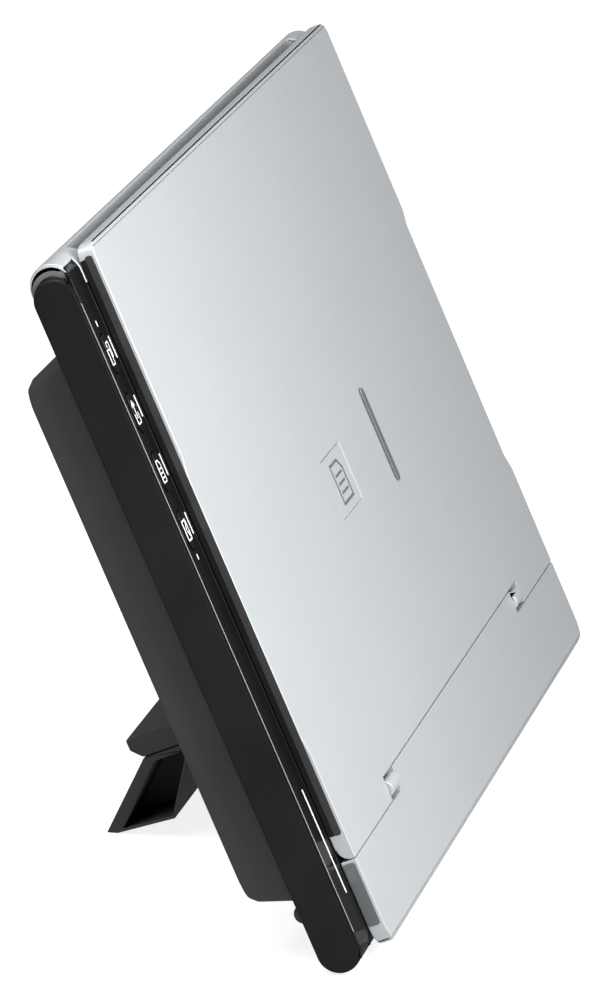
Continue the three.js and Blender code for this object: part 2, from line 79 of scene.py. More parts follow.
class ShellSettings(bpy.types.PropertyGroup):
    """Sizes and colours of the outer shells."""

    edge: length("Edge radius", "Radius worked along the edges of the shells", 0.0005)
    side_edge: length("Side edge radius", "Radius along the black side of the base", 0.0012)
    silver: colour("Silver paint", "Colour of the lid, hinge panel and end cap", (0.50, 0.525, 0.54))
    black: colour("Black plastic", "Colour of the base", (0.011, 0.011, 0.0115))
    gloss: colour("Gloss black", "Colour of the button strip and its buttons", (0.006, 0.006, 0.0065))
    grey: colour("Housing grey", "Colour of the lower housing and the stand", (0.038, 0.038, 0.037))
    mark: colour("Printed marks", "Colour of the symbols on the button strip", (0.80, 0.81, 0.82))


class WorksSettings(bpy.types.PropertyGroup):
    """Sizes and colours of the pieces inside and underneath."""

    tooth_pitch: length("Belt tooth pitch", "Distance between two teeth of the drive belt", 0.002)
    rubber: colour("Rubber", "Colour of the feet and the belt", (0.018, 0.018, 0.018))
    steel: colour("Steel", "Colour of the rod, pins and screws", (0.55, 0.56, 0.57))
    board: colour("Circuit board", "Colour of the solder mask", (0.02, 0.13, 0.05))
    foam: colour("Mat", "Colour of the white document mat", (0.82, 0.82, 0.80))


class StageSettings(bpy.types.PropertyGroup):
    """Floor, light and camera."""

    floor: colour("Floor", "Colour of the plain floor", (0.4, 0.4, 0.4))
    focal: bpy.props.FloatProperty(
        name="Focal length", description="Focal length of the camera", default=237.04, unit="CAMERA"
    )


# ---- finishes -----------------------------------------------------------------------------------
def start_material(name):
    """A material with only an output, a Principled shader and coordinates in the scanner's axes."""
    m = bpy.data.materials.new(name)
    m.use_nodes = True
    tree = m.node_tree
    tree.nodes.clear()
    out = tree.nodes.new("ShaderNodeOutputMaterial")
    shader = tree.nodes.new("ShaderNodeBsdfPrincipled")
    tree.links.new(shader.outputs["BSDF"], out.inputs["Surface"])
    coords = tree.nodes.new("ShaderNodeTexCoord")
    turn = tree.nodes.new("ShaderNodeMapping")
    turn.inputs["Rotation"].default_value = (LEAN, 0.0, 0.0)
    tree.links.new(coords.outputs["Object"], turn.inputs["Vector"])
    return m, tree, shader, turn.outputs["Vector"]


def noise(tree, vector, scale, detail=3.0, stretch=(1.0, 1.0, 1.0)):
    """Noise of a given scale, per metre, stretched along the scanner's axes."""
    squeeze = tree.nodes.new("ShaderNodeMapping")
    squeeze.inputs["Scale"].default_value = stretch
    tree.links.new(vector, squeeze.inputs["Vector"])
    n = tree.nodes.new("ShaderNodeTexNoise")
    n.inputs["Scale"].default_value = scale
    n.inputs["Detail"].default_value = detail
    tree.links.new(squeeze.outputs["Vector"], n.inputs["Vector"])
    return n.outputs["Fac"]


def spread(tree, factor, low, high):
    """Turns noise into a range of numbers."""
    r = tree.nodes.new("ShaderNodeMapRange")
    r.inputs["From Min"].default_value = 0.3
    r.inputs["From Max"].default_value = 0.7
    r.inputs["To Min"].default_value = low
    r.inputs["To Max"].default_value = high
    tree.links.new(factor, r.inputs["Value"])
    return r.outputs["Result"]


def shades(tree, factor, dark, light):
    """Turns noise into a mix of two close colours."""
    ramp = tree.nodes.new("ShaderNodeValToRGB")
    ramp.color_ramp.elements[0].position = 0.3
    ramp.color_ramp.elements[1].position = 0.7
    ramp.color_ramp.elements[0].color = (*dark, 1.0)
    ramp.color_ramp.elements[1].color = (*light, 1.0)
    tree.links.new(factor, ramp.inputs["Fac"])
    return ramp.outputs["Color"]


def bump(tree, height, depth, strength):
    """Relief of a depth in metres."""
    b = tree.nodes.new("ShaderNodeBump")
    b.inputs["Distance"].default_value = depth
    b.inputs["Strength"].default_value = strength
    tree.links.new(height, b.inputs["Height"])
    return b.outputs["Normal"]


def finish(name, base, vary=0.08, rough=(0.3, 0.4), grain=2500.0, depth=0.00002, strength=0.3,
           stretch=(1.0, 1.0, 1.0), **constants):
    """A painted, moulded or metal surface: drifting colour, uneven polish and a fine relief."""
    m, tree, shader, vector = start_material(name)
    dark = tuple(c * (1.0 - vary) for c in base)
    light = tuple(min(1.0, c * (1.0 + vary)) for c in base)
    drift = noise(tree, vector, 22.0, 4.0, stretch)
    tree.links.new(shades(tree, drift, dark, light), shader.inputs["Base Color"])
    polish = noise(tree, vector, 90.0, 5.0, stretch)
    tree.links.new(spread(tree, polish, *rough), shader.inputs["Roughness"])
    relief = bump(tree, noise(tree, vector, grain, 2.0, stretch), depth, strength)
    tree.links.new(relief, shader.inputs["Normal"])
    for socket, value in constants.items():
        shader.inputs[socket.replace("_", " ")].default_value = value
    return m


def woven_finish(name, base):
    """White foam-backed cloth with a fine even weave."""
    m, tree, shader, vector = start_material(name)
    weave = []
    for turn in (0.0, math.pi / 2):
        lay = tree.nodes.new("ShaderNodeMapping")
        lay.inputs["Rotation"].default_value = (0.0, turn, 0.0)
        tree.links.new(vector, lay.inputs["Vector"])
        w = tree.nodes.new("ShaderNodeTexWave")
        w.inputs["Scale"].default_value = 420.0
        w.inputs["Distortion"].default_value = 0.6
        tree.links.new(lay.outputs["Vector"], w.inputs["Vector"])
        weave.append(w.outputs["Fac"])
    cross = tree.nodes.new("ShaderNodeMath")
    cross.operation = "MULTIPLY"
    tree.links.new(weave[0], cross.inputs[0])
    tree.links.new(weave[1], cross.inputs[1])
    soil = noise(tree, vector, 30.0)
    dark = tuple(c * 0.95 for c in base)
    tree.links.new(shades(tree, soil, dark, base), shader.inputs["Base Color"])
    tree.links.new(bump(tree, cross.outputs["Value"], 0.000005, 0.08), shader.inputs["Normal"])
    shader.inputs["Roughness"].default_value = 0.85
    shader.inputs["Sheen Weight"].default_value = 0.25
    return m


def board_finish(name, base):
    """Green solder mask over copper tracks, which show as lighter and raised lines."""
    m, tree, shader, vector = start_material(name)
    tracks = tree.nodes.new("ShaderNodeTexBrick")
    layout = (("Scale", 260.0), ("Mortar Size", 0.06), ("Brick Width", 1.4), ("Row Height", 0.45))
    for socket, value in layout:
        tracks.inputs[socket].default_value = value
    flat = tree.nodes.new("ShaderNodeMapping")
    flat.inputs["Rotation"].default_value = (math.pi / 2, 0.0, 0.0)
    tree.links.new(vector, flat.inputs["Vector"])
    tree.links.new(flat.outputs["Vector"], tracks.inputs["Vector"])
    mix = tree.nodes.new("ShaderNodeMix")
    mix.data_type = "RGBA"
    mix.inputs["A"].default_value = (*base, 1.0)
    mix.inputs["B"].default_value = (base[0] * 2.5, base[1] * 1.9, base[2] * 2.0, 1.0)
    tree.links.new(tracks.outputs["Fac"], mix.inputs["Factor"])
    tree.links.new(mix.outputs["Result"], shader.inputs["Base Color"])
    tree.links.new(spread(tree, noise(tree, vector, 120.0), 0.3, 0.45), shader.inputs["Roughness"])
    tree.links.new(bump(tree, tracks.outputs["Fac"], 0.00004, 0.5), shader.inputs["Normal"])
    return m


def make_finishes():
    """Every finish of the scanner, by the name it is asked for."""
    shell = bpy.context.scene.scanner_shell
    works = bpy.context.scene.scanner_works
    silver = tuple(shell.silver)
    return {
        "silver": finish("silver_paint", silver, 0.012, (0.36, 0.40), 5200.0, 0.000012, 0.25,
                         Metallic=0.2, Coat_Weight=0.1, Coat_Roughness=0.3),
        # grey inlay metal of the emblem and the lid bar; also used as painted shade on the hinge panel's
        # silver side
        "grey_inlay_and_side_shade": finish("inlaid_grey_metal_and_painted_shade", tuple(c * 0.55 for c in silver), 0.05, (0.3, 0.4), 4000.0,
                            0.00001, 0.3, (1.0, 1.0, 12.0), Metallic=0.6),
        "black": finish("satin_black_plastic", tuple(shell.black), 0.18, (0.34, 0.46), 3600.0, 0.00002, 0.3,
                        IOR=1.24),
        "gloss": finish("piano_black", tuple(shell.gloss), 0.1, (0.09, 0.15), 1800.0, 0.000004, 0.12,
                        IOR=1.26),
        "grey": finish("textured_grey_plastic", tuple(shell.grey), 0.07, (0.52, 0.66), 2300.0, 0.00007, 0.5,
                       IOR=1.38),
        # painted shade: a dark grey for the lid's side, which is silver paint and only looks dark where it
        # is in shade
        "rim": finish("lid_side_painted_shade", tuple(c * 1.1 for c in shell.grey), 0.06, (0.25, 0.35), 2300.0,
                      0.00002, 0.3, IOR=1.35),
        "dark_grey": finish("collar_grey_plastic", tuple(c * 3.6 for c in shell.grey), 0.06, (0.35, 0.5),
                            2300.0, 0.00003, 0.4),
        "mark": finish("printed_white", tuple(shell.mark), 0.04, (0.4, 0.55), 3000.0, 0.000005, 0.2),
        "rubber": finish("black_rubber", tuple(works.rubber), 0.15, (0.72, 0.9), 1500.0, 0.0001, 0.55),
        "steel": finish("drawn_steel", tuple(works.steel), 0.06, (0.2, 0.34), 2600.0, 0.00001, 0.35,
                        (0.04, 1.0, 1.0), Metallic=1.0),
        "acrylic": finish("clear_acrylic", (0.82, 0.87, 0.9), 0.02, (0.05, 0.1), 900.0, 0.000004, 0.1,
                          Transmission_Weight=0.6, IOR=1.49),
        "glass": finish("platen_float_glass", (0.9, 0.97, 0.94), 0.01, (0.01, 0.03), 60.0, 0.000004, 0.05,
                        Transmission_Weight=0.92, IOR=1.5),
        "foam": woven_finish("white_mat_cloth", tuple(works.foam)),
        "ribbon": finish("white_ribbon_film", (0.7, 0.72, 0.74), 0.05, (0.25, 0.4), 900.0, 0.00003, 0.3,
                         (1.0, 1.0, 9.0)),
        "board": board_finish("green_circuit_board", tuple(works.board)),
    }


FINISHES = {}


# ---- shapes -------------------------------------------------------------------------------------
def link_mesh(name, mesh):
    obj = bpy.data.objects.new(name, mesh)
    bpy.context.scene.collection.objects.link(obj)
    return obj


def settle(obj):
    """Puts the result of an object's modifiers in its mesh and takes the modifiers off."""
    bpy.context.view_layer.update()
    graph = bpy.context.evaluated_depsgraph_get()
    mesh = bpy.data.meshes.new_from_object(obj.evaluated_get(graph), depsgraph=graph)
    obj.modifiers.clear()
    obj.data = mesh
    return obj


def round_edges(obj, width, segments=3, angle=28.0):
    """Rounds the sharp edges, with shading that keeps the flat faces flat."""
    for polygon in obj.data.polygons:
        polygon.use_smooth = True
    if width > 0:
        bevel = obj.modifiers.new("Rounded edges", "BEVEL")
        bevel.width = width
        bevel.segments = segments
        bevel.limit_method = "ANGLE"
        bevel.angle_limit = math.radians(angle)
        bevel.use_clamp_overlap = False
        bevel.miter_outer = "MITER_ARC"
    weigh = obj.modifiers.new("Even shading", "WEIGHTED_NORMAL")
    weigh.keep_sharp = True
    return settle(obj)


def belongs(obj, body, finish_name, replaced=()):
    """Gives a piece its finish, its body and the frame nodes it stands for."""
    obj.data.materials.clear()
    obj.data.materials.append(FINISHES[finish_name])
    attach(obj, body)
    if replaced:
        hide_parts(*replaced)
    return obj


def worked(node, name, body, finish_name, width, segments=3, angle=28.0):
    """A frame node's shape with its edges rounded, standing for that node."""
    bm = bmesh.new()
    bm.from_mesh(NODES[node].data)
    bmesh.ops.remove_doubles(bm, verts=bm.verts, dist=2e-6)
    bmesh.ops.dissolve_limit(bm, angle_limit=math.radians(0.4), verts=bm.verts, edges=bm.edges)
    for edge in bm.edges:
        edge.smooth = edge.calc_face_angle(math.pi) < math.radians(angle) or width > 0
    mesh = bpy.data.meshes.new(name)
    bm.to_mesh(mesh)
    bm.free()
    obj = link_mesh(name, mesh)
    round_edges(obj, width, segments, angle)
    return belongs(obj, body, finish_name, [node])


def prism(outline, low, high, axis="d"):
    """Vertices and faces of an outline run between two depths, or along x if axis is x."""
    n = len(outline)
    if axis == "d":
        points = [(u, w, v) for w in (low, high) for u, v in outline]
    else:
        points = [(w, u, v) for w in (low, high) for u, v in outline]
    faces = [tuple(range(n)), tuple(reversed(range(n, 2 * n)))]
    faces += [(i, i + n, (i + 1) % n + n, (i + 1) % n) for i in range(n)]
    return points, faces


def joined(name, parts):
    """One mesh, leaned back into the frame, from several lists of vertices and faces."""
    points, faces = [], []
    for p, f in parts:
        start = len(points)
        points += p
        faces += [tuple(i + start for i in face) for face in f]
    mesh = bpy.data.meshes.new(name)
    mesh.from_pydata([TO_FRAME @ Vector(p) for p in points], [], faces)
    bm = bmesh.new()
    bm.from_mesh(mesh)
    bmesh.ops.recalc_face_normals(bm, faces=bm.faces)
    bm.to_mesh(mesh)
    bm.free()
    return link_mesh(name, mesh)


def rounded(u0, u1, v0, v1, r, steps=5):
    """Outline of a rectangle with round corners."""
    corners = [(u1 - r, v0 + r, -90), (u1 - r, v1 - r, 0), (u0 + r, v1 - r, 90), (u0 + r, v0 + r, 180)]
    out = []
    for cu, cv, start in corners:
        for i in range(steps + 1):
            a = math.radians(start + 90 * i / steps)
            out.append((cu + r * math.cos(a), cv + r * math.sin(a)))
    return out


def stroke(u0, v0, u1, v1, wide):
    """Outline of a straight line of a given width with round ends."""
    dx, dy = u1 - u0, v1 - v0
    run = math.hypot(dx, dy)
    a = math.atan2(dy, dx)
    out = []
    for end, start in ((run, -90), (0.0, 90)):
        for i in range(5):
            t = math.radians(start + 45 * i)
            x, y = end + wide / 2 * math.cos(t), wide / 2 * math.sin(t)
            out.append((u0 + x * math.cos(a) - y * math.sin(a), v0 + x * math.sin(a) + y * math.cos(a)))
    return out


def poly_strokes(points, wide, close=True):
    pairs = list(zip(points, points[1:] + points[:1])) if close else list(zip(points, points[1:]))
    return [stroke(*a, *b, wide) for a, b in pairs]


# ---- repeated pieces ----------------------------------------------------------------------------
def repeat_tree(name, piece, material_name):
    """Geometry Nodes that set a piece on every point, count in a row and pitch given by name."""
    tree = bpy.data.node_groups.new(name, "GeometryNodeTree")
    face = tree.interface
    face.new_socket("Geometry", in_out="INPUT", socket_type="NodeSocketGeometry")
    face.new_socket("Count", in_out="INPUT", socket_type="NodeSocketInt")
    face.new_socket("Pitch", in_out="INPUT", socket_type="NodeSocketVector")
    face.new_socket("Geometry", in_out="OUTPUT", socket_type="NodeSocketGeometry")
    given = tree.nodes.new("NodeGroupInput")
    result = tree.nodes.new("NodeGroupOutput")
    line = tree.nodes.new("GeometryNodeMeshLine")
    line.mode = "OFFSET"
    on_line = tree.nodes.new("GeometryNodeInstanceOnPoints")
    on_points = tree.nodes.new("GeometryNodeInstanceOnPoints")
    source = tree.nodes.new("GeometryNodeObjectInfo")
    source.inputs["Object"].default_value = piece
    real = tree.nodes.new("GeometryNodeRealizeInstances")
    paint = tree.nodes.new("GeometryNodeSetMaterial")
    paint.inputs["Material"].default_value = FINISHES[material_name]
    join = tree.links.new
    join(given.outputs["Count"], line.inputs["Count"])
    join(given.outputs["Pitch"], line.inputs["Offset"])
    join(line.outputs["Mesh"], on_line.inputs["Points"])
    join(source.outputs["Geometry"], on_line.inputs["Instance"])
    join(given.outputs["Geometry"], on_points.inputs["Points"])
    join(on_line.outputs["Instances"], on_points.inputs["Instance"])
    join(on_points.outputs["Instances"], real.inputs["Geometry"])
    join(real.outputs["Geometry"], paint.inputs["Geometry"])
    join(paint.outputs["Geometry"], result.inputs["Geometry"])
    return tree


def repeated(name, piece, starts, body, finish_name, count=1, pitch=(1.0, 0.0, 0.0), replaced=()):
    """Rows of one piece, made by Geometry Nodes and turned into one mesh in the frame."""
    points = bpy.data.meshes.new(name)
    points.from_pydata([Vector(p) * MM for p in starts], [], [])
    obj = link_mesh(name, points)
    tree = repeat_tree(name + "_rows", piece, finish_name)
    modifier = obj.modifiers.new("Rows", "NODES")
    modifier.node_group = tree
    ids = {s.name: s.identifier for s in tree.interface.items_tree if s.in_out == "INPUT"}
    modifier[ids["Count"]] = count
    modifier[ids["Pitch"]] = tuple(c * MM for c in pitch)
    settle(obj)
    bpy.data.objects.remove(piece)
    obj.data.transform(TO_FRAME @ Matrix.Scale(1.0 / MM, 4))
    for polygon in obj.data.polygons:
        polygon.use_smooth = True
    return belongs(obj, body, finish_name, replaced)


def pattern_piece(name, parts, edge):
    """A piece for a row, in metres and in the scanner's axes about its own start point."""
    obj = joined(name, parts)
    obj.data.transform(Matrix.Scale(MM, 4) @ TO_FRAME.inverted())
    return round_edges(obj, edge * MM, 2)


def turned(profile, steps=36):
    """Vertices and faces of a shape turned about d, from pairs of radius and depth."""
    n = len(profile)
    points, faces = [], []
    for i in range(steps):
        a = 2 * math.pi * i / steps
        points += [(r * math.cos(a), d, r * math.sin(a)) for r, d in profile]
    for i in range(steps):
        for k in range(n - 1):
            a, b = i * n + k, ((i + 1) % steps) * n + k
            faces.append((a, a + 1, b + 1, b))
    faces.append(tuple(i * n for i in range(steps)))
    faces.append(tuple(reversed([i * n + n - 1 for i in range(steps)])))
    return points, faces


# ---- operators: shells --------------------------------------------------------------------------
class SCANNER_OT_finishes(bpy.types.Operator):
    """Make every finish of the scanner"""

    bl_idname = "scanner.finishes"
    bl_label = "Finishes"

    def execute(self, context):
        FINISHES.update(make_finishes())
        for node in NODES.values():
            node.data.materials.clear()
            node.data.materials.append(FINISHES["grey"])
        return {"FINISHED"}


class SCANNER_OT_lid(bpy.types.Operator):
    """Make the lid with its creased band, its emblem recess, its inlaid marks and the painted shade and
    shadow strips on its side
    """

    bl_idname = "scanner.lid"
    bl_label = "Lid"

    def execute(self, context):
        edge = context.scene.scanner_shell.edge
        worked("lid_panel", "lid_shell", "lid", "silver", edge, 4)
        worked("lid_badge", "emblem_plate", "lid", "silver", edge * 0.4)
        page = [(-28.0, 134.5), (-28.0, 150.5), (-17.0, 150.5), (-13.0, 146.5), (-13.0, 134.5)]
        lines = poly_strokes(page, 1.0)
        lines += [stroke(-25.0, h, -16.0, h, 0.9) for h in (138.5, 142.0, 145.5)]
        emblem = joined("emblem_page", [prism(line, 0.95, 1.3) for line in lines])
        belongs(emblem, "lid", "grey_inlay_and_side_shade")
        bar = joined("lid_inlay", [prism(rounded(45.4, 49.6, 122.0, 163.0, 2.0), -0.08, 0.5)])
        belongs(round_edges(bar, 0.0001, 2), "lid", "grey_inlay_and_side_shade")
        # painted shade: a dark grey sheet over the lid's silver side where that side is in shade
        side = [prism(rounded(1.3, 4.3, 47.0, 285.5, 1.2), LID_SIDE - 0.16, LID_SIDE + 0.2, "x")]
        belongs(round_edges(joined("lid_side_trim", side), 0.00008, 2), "lid", "rim")
        # painted shadow: a black band below it that stands in for the shadowed gap under the lid's edge
        under = [prism(rounded(3.2, 6.5, 47.2, 284.5, 0.8), LID_SIDE - 0.12, LID_SIDE + 0.2, "x")]
        belongs(round_edges(joined("lid_under_trim", under), 0.00008, 2), "lid", "black")
        return {"FINISHED"}


class SCANNER_OT_mat(bpy.types.Operator):
    """Make the white document mat as a thin crowned pad under the lid"""

    bl_idname = "scanner.mat"
    bl_label = "Document mat"

    def execute(self, context):
        x0, x1, h0, h1, d0, d1 = -183.2, 196.2, 52.8, 284.6, 2.95, 6.45
        across, up = 96, 60
        points, faces = [], []
        for side in (0, 1):
            for j in range(up + 1):
                for i in range(across + 1):
                    u, v = i / across, j / up
                    rim = min(u * (x1 - x0), (1 - u) * (x1 - x0), v * (h1 - h0), (1 - v) * (h1 - h0))
                    full = 1.0 - math.exp(-rim / 3.0)
                    half = (d1 - d0) / 2 * (0.35 + 0.65 * full)
                    d = d0 + 2 * half * side
                    points.append((x0 + u * (x1 - x0), d, h0 + v * (h1 - h0)))
        row, layer = across + 1, (across + 1) * (up + 1)
        for side in (0, 1):
            for j in range(up):
                for i in range(across):
                    a = side * layer + j * row + i
                    face = (a, a + 1, a + row + 1, a + row)
                    faces.append(face[::-1] if side else face)
        rim_loop = list(range(across))
        rim_loop += [j * row + across for j in range(up)]
        rim_loop += [up * row + i for i in range(across, 0, -1)]
        rim_loop += [j * row for j in range(up, 0, -1)]
        for a, b in zip(rim_loop, rim_loop[1:] + rim_loop[:1]):
            faces.append((a, a + layer, b + layer, b))
        mat = joined("document_pad", [(points, faces)])
        round_edges(mat, 0.0005, 3, 50.0)
        belongs(mat, "lid", "foam", ["document_mat"])
        return {"FINISHED"}


class SCANNER_OT_hinge(bpy.types.Operator):
    """Make the hinged panel below the seam, its two knuckles and its pins"""

    bl_idname = "scanner.hinge"
    bl_label = "Hinge panel"

    def execute(self, context):
        edge = context.scene.scanner_shell.edge
        worked("hinge_panel", "hinge_panel_shell", "hinge_panel", "silver", edge, 4)
        # painted shade: a darker grey sheet over the hinge panel's silver side where that side is in shade
        side = [prism(rounded(1.2, 6.2, 9.5, 35.4, 1.0), LID_SIDE - 0.14, LID_SIDE + 0.2, "x")]
        belongs(round_edges(joined("panel_side_trim", side), 0.00008, 2), "hinge_panel", "grey_inlay_and_side_shade")
        for side in ("left", "right"):
            worked(f"hinge_knuckle_{side}", f"knuckle_{side}", "hinge_panel", "silver", edge * 0.8)
            worked(f"hinge_pin_{side}", f"knuckle_pin_{side}", "hinge_panel", "steel", 0.00012, 2, 50.0)
            worked(f"base_pin_{side}", f"edge_pin_{side}", "scanner_base", "steel", 0.00012, 2, 50.0)
        return {"FINISHED"}


class SCANNER_OT_base(bpy.types.Operator):
    """Make the black base with its half-round ends, the silver end cap and its stepped collar"""

    bl_idname = "scanner.base"
    bl_label = "Base"

    def execute(self, context):
        shell = context.scene.scanner_shell
        worked("base_frame", "base_shell", "scanner_base", "black", shell.side_edge, 4, 60.0)
        worked("end_cap", "end_cap_shell", "scanner_base", "silver", shell.edge, 3, 50.0)
        self.collar()
        worked("platen_glass", "platen_pane", "scanner_base", "glass", 0.0003)
        return {"FINISHED"}

    def collar(self):
        """Half-round steps on the cap's end, above the black side."""
        middle_d, steps = 15.6, 28
        rings = ((278.9, 6.5, 8.45, -202.6, "dark_grey"), (280.0, 8.15, 8.5, -202.3, "black"),
                 (280.7, 8.1, 8.5, -202.5, "silver"))
        for i, (middle_h, inner, outer, left, finish_name) in enumerate(rings):
            points, faces = [], []
            for k in range(steps + 1):
                a = math.pi * k / steps
                for x, radius in ((left, inner), (left, outer), (-201.9, outer), (-201.9, inner)):
                    points.append((x, middle_d + radius * math.cos(a), middle_h + radius * math.sin(a)))
            for k in range(steps):
                for s in range(4):
                    a, b = 4 * k + s, 4 * k + (s + 1) % 4
                    faces.append((a, b, b + 4, a + 4))
            faces += [(0, 1, 2, 3), tuple(4 * steps + s for s in (3, 2, 1, 0))]
            ring = joined(f"collar_step_{i + 1}", [(points, faces)])
            belongs(round_edges(ring, 0.00008, 2, 50.0), "scanner_base", finish_name)


class SCANNER_OT_strip(bpy.types.Operator):
    """Make the gloss button strip, its four buttons, and the plain white symbols printed on them"""

    bl_idname = "scanner.strip"
    bl_label = "Button strip"

    top_button, button_pitch = 250.0, 24.0
    symbol_x, bar_x, tick_x, long_bar_x, edge_x = -198.2, -191.2, -197.3, -194.0, -204.15

    def execute(self, context):
        worked("control_ledge", "button_strip", "scanner_base", "gloss", 0.0004, 3, 50.0)
        symbols = (self.sheets, self.arrow, self.page, self.envelope)
        for i, symbol in enumerate(symbols):
            h = self.top_button - self.button_pitch * i
            number = 4 - i
            worked(f"button_{number}", f"button_cap_{number}", f"button_{number}", "gloss", 0.0005, 4)
            lines = symbol(self.symbol_x, h)
            mark = joined(f"button_symbol_{number}", [prism(s, 6.36, 6.5) for s in lines])
            belongs(mark, f"button_{number}", "mark")
        worked("button_board", "button_circuit", "scanner_base", "board", 0.0002)
        bars = []
        for i in range(len(symbols)):
            h = self.top_button - self.button_pitch * i
            bars.append(stroke(self.bar_x, h - 3.0, self.bar_x, h + 5.0, 1.0))
        bars += [stroke(self.tick_x, h, self.tick_x, h + 1.6, 0.9) for h in (261.2, 166.2)]
        bars.append(stroke(self.long_bar_x, 27.0, self.long_bar_x, 69.0, 1.2))
        belongs(joined("strip_marks", [prism(b, 6.93, 7.05) for b in bars]), "scanner_base", "mark")
        # painted highlight: a thin silver line along the strip's outer edge, where light catches the corner
        # of the black base
        edge = stroke(self.edge_x, 14.0, self.edge_x, 272.0, 0.36)
        line = joined("strip_edge_line", [prism(edge, 6.88, 7.5)])
        belongs(line, "scanner_base", "silver")
        return {"FINISHED"}

    def sheets(self, x, h):
        """Two overlapping sheets."""
        front = [(x - 1.9, h - 4.2), (x + 0.9, h - 4.2), (x + 0.9, h + 1.6), (x - 1.9, h + 1.6)]
        back = [(x - 0.6, h + 2.6), (x - 0.6, h + 4.4), (x + 2.0, h + 4.4), (x + 2.0, h - 1.6)]
        back.append((x + 1.6, h - 1.6))
        return poly_strokes(front, 0.6) + poly_strokes(back, 0.6, False)

    def arrow(self, x, h):
        """A sheet with an arrow out of it."""
        box = [(x - 1.9, h - 0.4), (x - 1.9, h - 4.2), (x + 1.9, h - 4.2), (x + 1.9, h - 0.4)]
        head = [(x - 1.4, h + 2.6), (x, h + 4.6), (x + 1.4, h + 2.6)]
        shaft = stroke(x, h - 2, x, h + 4, 0.7)
        return poly_strokes(box, 0.6, False) + poly_strokes(head, 0.7, False) + [shaft]

    def page(self, x, h):
        """A page with lines of writing."""
        edge = [(x - 1.9, h - 4.2), (x + 1.9, h - 4.2), (x + 1.9, h + 2.6), (x + 0.3, h + 4.4)]
        edge.append((x - 1.9, h + 4.4))
        lines = [stroke(x - 0.9, h + o, x + 0.9, h + o, 0.6) for o in (-2.4, -0.6, 1.2)]
        return poly_strokes(edge, 0.6) + lines

    def envelope(self, x, h):
        """A shut envelope."""
        edge = [(x - 2.1, h - 3.8), (x + 2.1, h - 3.8), (x + 2.1, h + 3.8), (x - 2.1, h + 3.8)]
        flap = [(x + 2.1, h - 3.8), (x - 0.3, h), (x + 2.1, h + 3.8)]
        return poly_strokes(edge, 0.7) + poly_strokes(flap, 0.7, False)


class SCANNER_OT_housing(bpy.types.Operator):
    """Make the lower housing, its rear rib and the sliding lock"""

    bl_idname = "scanner.housing"
    bl_label = "Lower housing"

    def execute(self, context):
        worked("lower_housing", "housing_shell", "scanner_base", "grey", 0.0006, 3, 32.0)
        worked("rear_rib", "rear_bar", "scanner_base", "grey", 0.0005, 3, 50.0)
        worked("carriage_lock", "lock_slider", "carriage_lock", "black", 0.0002, 2)
        worked("usb_socket", "socket_shell", "scanner_base", "steel", 0.00015, 2)
        return {"FINISHED"}


class SCANNER_OT_stand(bpy.types.Operator):
    """Make the two parts of the fold-out stand and their pins"""

    bl_idname = "scanner.stand"
    bl_label = "Stand"

    def execute(self, context):
        worked("stand_arm", "stand_arm_shell", "stand_arm", "grey", 0.0005, 3)
        worked("stand_leg", "stand_leg_shell", "stand_leg", "grey", 0.0005, 3)
        worked("stand_pin", "stand_pin_rod", "scanner_base", "steel", 0.0002, 2, 50.0)
        for i in (1, 2):
            worked(f"leg_pin_{i}", f"leg_pin_rod_{i}", "stand_leg", "steel", 0.0002, 2, 50.0)
        return {"FINISHED"}


# ---- operators: fixings and works ---------------------------------------------------------------
class SCANNER_OT_fixings(bpy.types.Operator):
    """Make the housing screws, the round feet and the edge feet"""

    bl_idname = "scanner.fixings"
    bl_label = "Screws and feet"

    def execute(self, context):
        shank = [(1.4, 0.0), (1.4, 9.9)]
        head = [(3.1, 9.9), (3.1, 10.3), (2.7, 10.8), (1.1, 10.9), (0.7, 10.3)]
        screw = pattern_piece("screw_pattern", [turned(shank + head)], 0.05)
        starts = [(x, HOUSING_BACK - 11.1, h) for x in (-176.0, 176.0) for h in (58.0, 228.0)]
        repeated("housing_screws", screw, starts, "scanner_base", "steel",
                 replaced=[f"housing_screw_{i}" for i in (1, 2, 3, 4)])
        pad = turned([(8.0, 0.0), (8.0, 1.0), (7.7, 1.6), (7.1, 2.0), (4.6, 2.0), (4.2, 1.7), (3.6, 1.7)])
        foot = pattern_piece("foot_pattern", [pad], 0.0)
        starts = [(x, HOUSING_BACK + 0.3, h) for x in (-150.0, 150.0) for h in (66.0, 222.0)]
        repeated("round_feet", foot, starts, "scanner_base", "rubber",
                 replaced=[f"rubber_foot_{i}" for i in (1, 2, 3, 4)])
        for side in ("left", "right"):
            worked(f"edge_foot_{side}", f"edge_pad_{side}", "scanner_base", "rubber", 0.0004, 3, 50.0)
        return {"FINISHED"}


class SCANNER_OT_drive(bpy.types.Operator):
    """Make the guide rod, the toothed belt and its anchors"""

    bl_idname = "scanner.drive"
    bl_label = "Drive rail"

    def execute(self, context):
        worked("guide_rod", "guide_rail", "scanner_base", "steel", 0.0004, 2, 50.0)
        worked("drive_belt", "belt_band", "scanner_base", "rubber", 0.0001, 2)
        pitch = context.scene.scanner_works.tooth_pitch / MM
        tooth = prism([(-0.45, 0.0), (0.45, 0.0), (0.25, -0.5), (-0.25, -0.5)], 190.2, 195.8, "h")
        tooth = ([(p[1], p[2], p[0]) for p in tooth[0]], tooth[1])
        piece = pattern_piece("tooth_pattern", [tooth], 0.0)
        run = 366.0
        starts = [(-run / 2, 38.62, 0.0)]
        repeated("belt_teeth", piece, starts, "scanner_base", "rubber", int(run / pitch), (pitch, 0.0, 0.0))
        for side in ("left", "right"):
            worked(f"belt_anchor_{side}", f"belt_clamp_{side}", "scanner_base", "black", 0.0004, 2)
        return {"FINISHED"}


